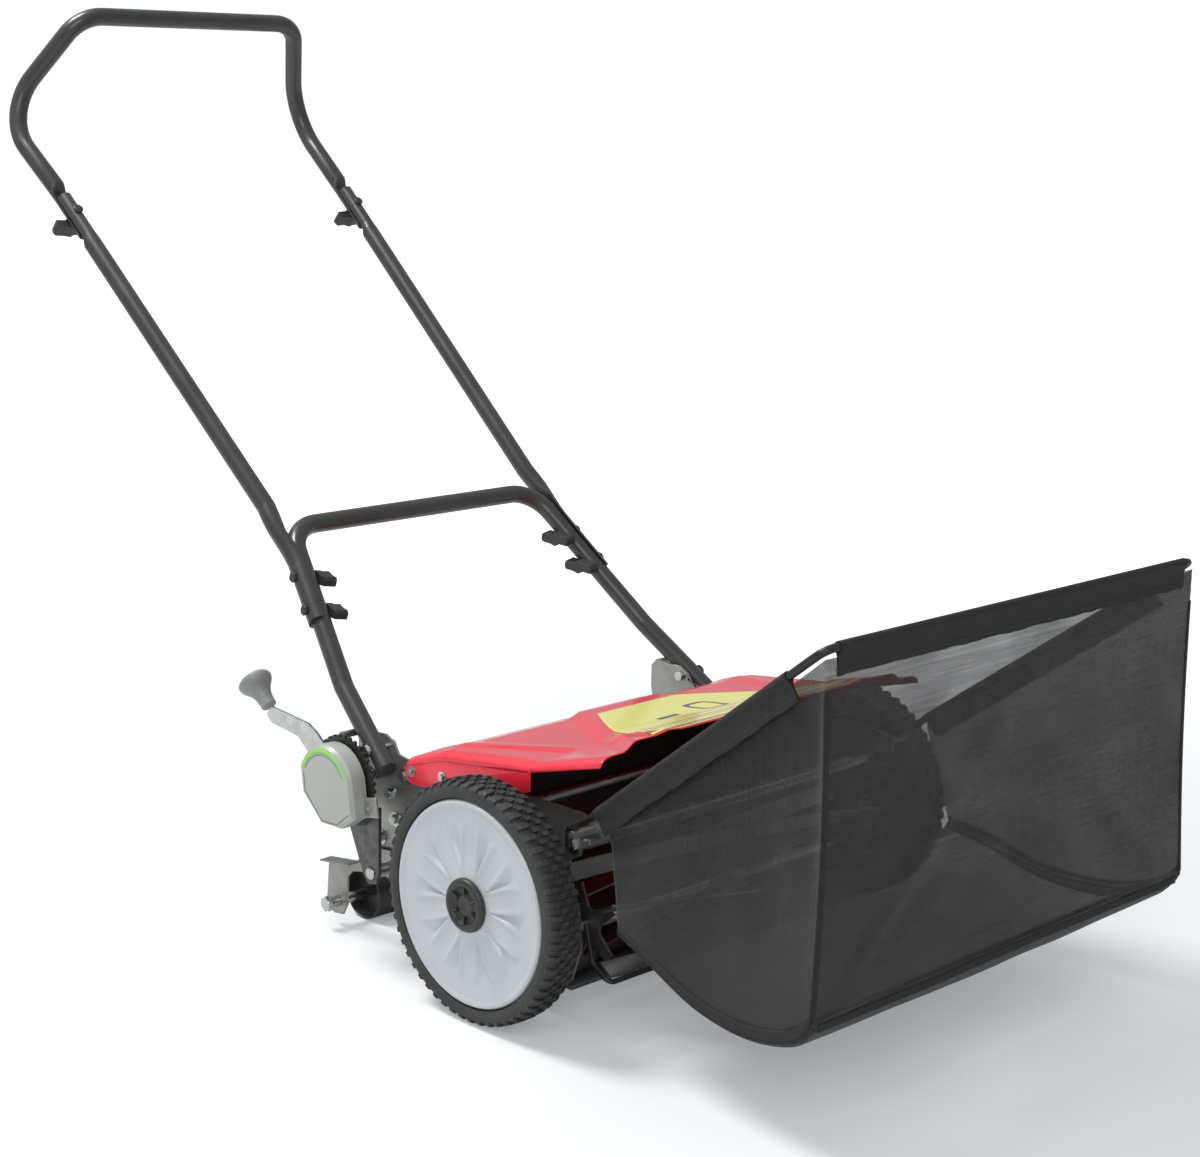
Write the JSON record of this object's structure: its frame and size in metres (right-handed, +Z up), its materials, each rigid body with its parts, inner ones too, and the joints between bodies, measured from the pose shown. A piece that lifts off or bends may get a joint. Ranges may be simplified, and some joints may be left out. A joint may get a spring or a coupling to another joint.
{
  "type": "push reel lawn mower",
  "caption": "Push reel lawn mower with two drive wheels, helical cutting reel, rear roller, height lever, jointed tube handle and front mesh catcher.",
  "frame": {"origin": "on the ground, under the middle of the overall width and length", "axes": "+Z up; the mower cuts towards -Y, the handle and roller are towards +Y; the height lever is on the -X side"},
  "size_m": [0.635, 1.4163, 1.0107],
  "materials": {
    "plate_steel": "satin grey",
    "bright_steel": "bright",
    "blade_steel": "ground",
    "red_paint": "gloss red",
    "black_paint": "satin black",
    "dark_steel": "oiled",
    "zinc": "zinc plated",
    "tyre": "moulded",
    "black_plastic": "moulded black",
    "wheel_grey": "moulded grey",
    "housing_grey": "moulded light grey",
    "knob_grey": "moulded grey",
    "tube_black": "satin black powder coat",
    "mesh_cloth": "woven black mesh"
  },
  "bodies": {
    "chassis": {"side_plate_right": "plate_steel", "side_plate_left": "plate_steel", "tie_rod_front": "bright_steel", "tie_rod_rear": "bright_steel", "bed_knife_bar": "red_paint", "bed_knife": "blade_steel", "deflector": "red_paint", "axle_right": "bright_steel", "axle_left": "bright_steel", "gear_cover_right": "black_paint", "gear_cover_left": "black_paint", "reel_bearing_right": "dark_steel", "reel_bearing_left": "dark_steel", "catcher_support": "black_paint", "lever_stud": "bright_steel", "adjuster_disc": "black_plastic", "adjuster_cover": "housing_grey", "pivot_bolt_right": "bright_steel", "pivot_bolt_left": "bright_steel"},
    "wheel_right": {"tyre_right": "tyre", "rim_right": "black_plastic", "hub_cover_right": "wheel_grey", "hub_cap_right": "black_plastic"},
    "wheel_left": {"tyre_left": "tyre", "rim_left": "black_plastic", "hub_cover_left": "wheel_grey", "hub_cap_left": "black_plastic"},
    "reel": {"reel_shaft": "bright_steel", "reel_blade_1": "blade_steel", "reel_blade_2": "blade_steel", "reel_blade_3": "blade_steel", "reel_blade_4": "blade_steel", "reel_blade_5": "blade_steel", "reel_spider_right": "dark_steel", "reel_spider_middle": "dark_steel", "reel_spider_left": "dark_steel", "pinion_right": "dark_steel", "pinion_left": "dark_steel"},
    "height_frame": {"arm_shaft": "bright_steel", "roller_axle": "bright_steel", "roller_arm_right": "zinc", "roller_arm_left": "zinc", "height_sector": "dark_steel"},
    "rear_roller": {"roller": "black_plastic"},
    "lever": {"height_lever": "zinc", "lever_pinion": "dark_steel", "lever_knob": "knob_grey"},
    "handle": {"lower_handle": "tube_black", "mid_tube_right": "tube_black", "mid_tube_left": "tube_black", "upper_handle": "tube_black"},
    "catcher": {"catcher_rim": "black_paint", "catcher_bag": "mesh_cloth", "catcher_base": "black_paint"},
    "wing_knob_right_rear": {"wing_knob_right_rear": "black_plastic"},
    "wing_knob_right_front": {"wing_knob_right_front": "black_plastic"},
    "wing_knob_right_upper": {"wing_knob_right_upper": "black_plastic"},
    "wing_knob_left_rear": {"wing_knob_left_rear": "black_plastic"},
    "wing_knob_left_front": {"wing_knob_left_front": "black_plastic"},
    "wing_knob_left_upper": {"wing_knob_left_upper": "black_plastic"}
  },
  "joints": [
    {"name": "wheel_right_spin", "type": "hinge", "parent": "chassis", "child": "wheel_right", "pos_m": [-0.291, -0.2675, 0.127], "axis": [1, 0, 0], "continuous": true},
    {"name": "wheel_left_spin", "type": "hinge", "parent": "chassis", "child": "wheel_left", "pos_m": [0.291, -0.2675, 0.127], "axis": [1, 0, 0], "continuous": true},
    {"name": "reel_spin", "type": "hinge", "parent": "chassis", "child": "reel", "pos_m": [0, -0.3253, 0.095], "axis": [1, 0, 0], "continuous": true},
    {"name": "roller_frame_tilt", "type": "hinge", "parent": "chassis", "child": "height_frame", "pos_m": [0, -0.0635, 0.096], "axis": [1, 0, 0], "range_deg": [-24, 0]},
    {"name": "height_lever_turn", "type": "hinge", "parent": "chassis", "child": "lever", "pos_m": [-0.276, -0.0225, 0.19], "axis": [1, 0, 0], "range_deg": [0, 67.1]},
    {"name": "roller_spin", "type": "hinge", "parent": "height_frame", "child": "rear_roller", "pos_m": [0, 0.0345, 0.03], "axis": [1, 0, 0], "continuous": true},
    {"name": "handle_tilt", "type": "hinge", "parent": "chassis", "child": "handle", "pos_m": [0, -0.0455, 0.2275], "axis": [1, 0, 0], "range_deg": [0, 45]},
    {"name": "catcher_lift", "type": "slide", "parent": "chassis", "child": "catcher", "axis": [0, 0, 1], "range_m": [0, 0.2]},
    {"name": "wing_knob_right_rear_turn", "type": "hinge", "parent": "handle", "child": "wing_knob_right_rear", "pos_m": [-0.19257, 0.13051, 0.37803], "axis": [0.9783, -0.1508, -0.1422], "range_deg": [0, 360]},
    {"name": "wing_knob_right_front_turn", "type": "hinge", "parent": "handle", "child": "wing_knob_right_front", "pos_m": [-0.2021, 0.09777, 0.34715], "axis": [0.9783, -0.1508, -0.1422], "range_deg": [0, 360]},
    {"name": "wing_knob_right_upper_turn", "type": "hinge", "parent": "handle", "child": "wing_knob_right_upper", "pos_m": [-0.21721, 0.58151, 0.75096], "axis": [0, 0.6488, -0.7609], "range_deg": [0, 360]},
    {"name": "wing_knob_left_rear_turn", "type": "hinge", "parent": "handle", "child": "wing_knob_left_rear", "pos_m": [0.19257, 0.13051, 0.37803], "axis": [-0.9783, -0.1508, -0.1422], "range_deg": [0, 360]},
    {"name": "wing_knob_left_front_turn", "type": "hinge", "parent": "handle", "child": "wing_knob_left_front", "pos_m": [0.2021, 0.09777, 0.34715], "axis": [-0.9783, -0.1508, -0.1422], "range_deg": [0, 360]},
    {"name": "wing_knob_left_upper_turn", "type": "hinge", "parent": "handle", "child": "wing_knob_left_upper", "pos_m": [0.21721, 0.58151, 0.75096], "axis": [0, 0.6488, -0.7609], "range_deg": [0, 360]}
  ],
  "couplings": [
    {"joint": "wheel_left_spin", "follows": "wheel_right_spin", "ratio": 1},
    {"joint": "reel_spin", "follows": "wheel_right_spin", "ratio": 5},
    {"joint": "height_lever_turn", "follows": "roller_frame_tilt", "ratio": -2.7917}
  ]
}
